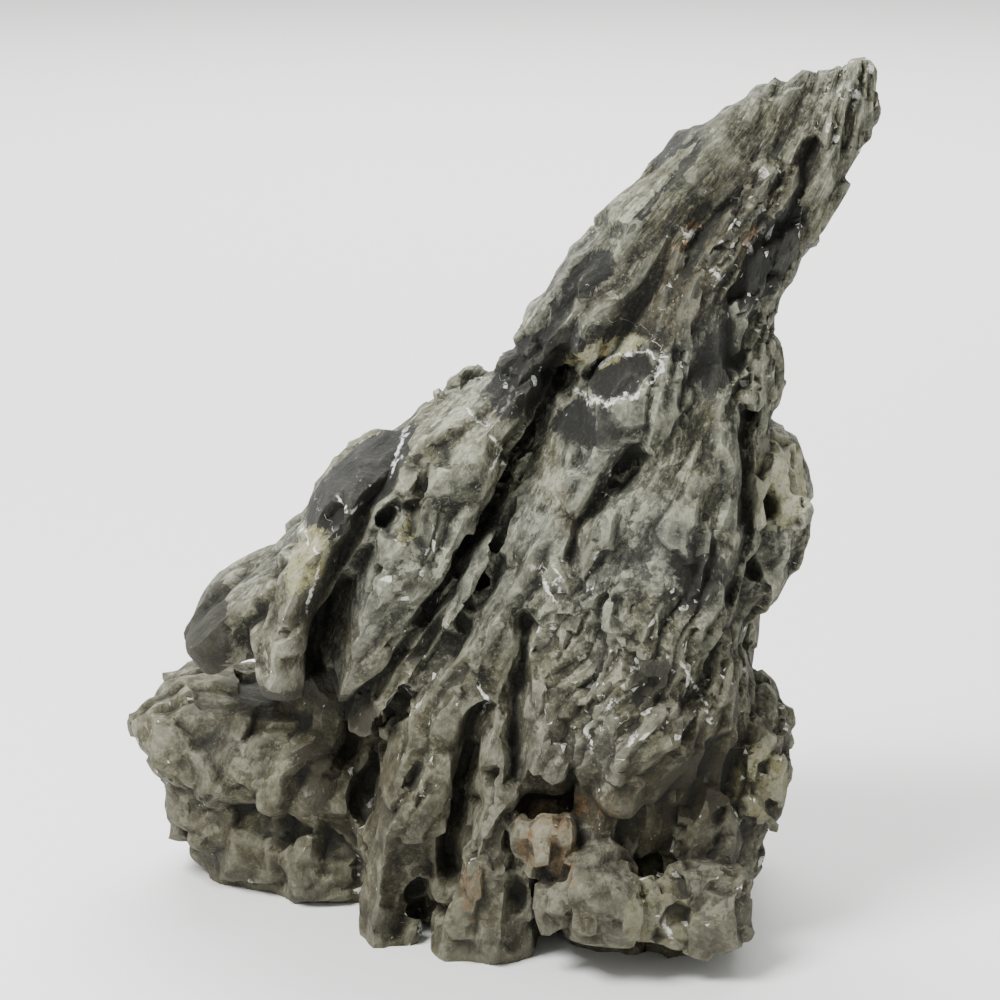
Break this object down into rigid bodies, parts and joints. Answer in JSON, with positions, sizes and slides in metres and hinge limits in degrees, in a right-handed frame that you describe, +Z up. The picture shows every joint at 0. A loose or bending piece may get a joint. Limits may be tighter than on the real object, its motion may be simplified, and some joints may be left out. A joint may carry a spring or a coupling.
{
  "type": "seiryu stone",
  "caption": "Leaning seiryu stone with a thin spire, steep bedding ridges and deep clefts, flat underneath so that it stands in an aquascape.",
  "frame": {"origin": "middle of the stone's outline seen from above, at the level of its flat underside", "axes": "+Z up, +X to the right of the front, the side that the spire leans to, +Y to the back; the front is the side with the clefts"},
  "size_m": [0.1733, 0.1096, 0.2011],
  "materials": {
    "limestone": "weathered, matt, olive grey with pale edges, dark clefts, white calcite veins and rusty stains"
  },
  "bodies": {
    "root": {"stone": "limestone"}
  },
  "joints": []
}
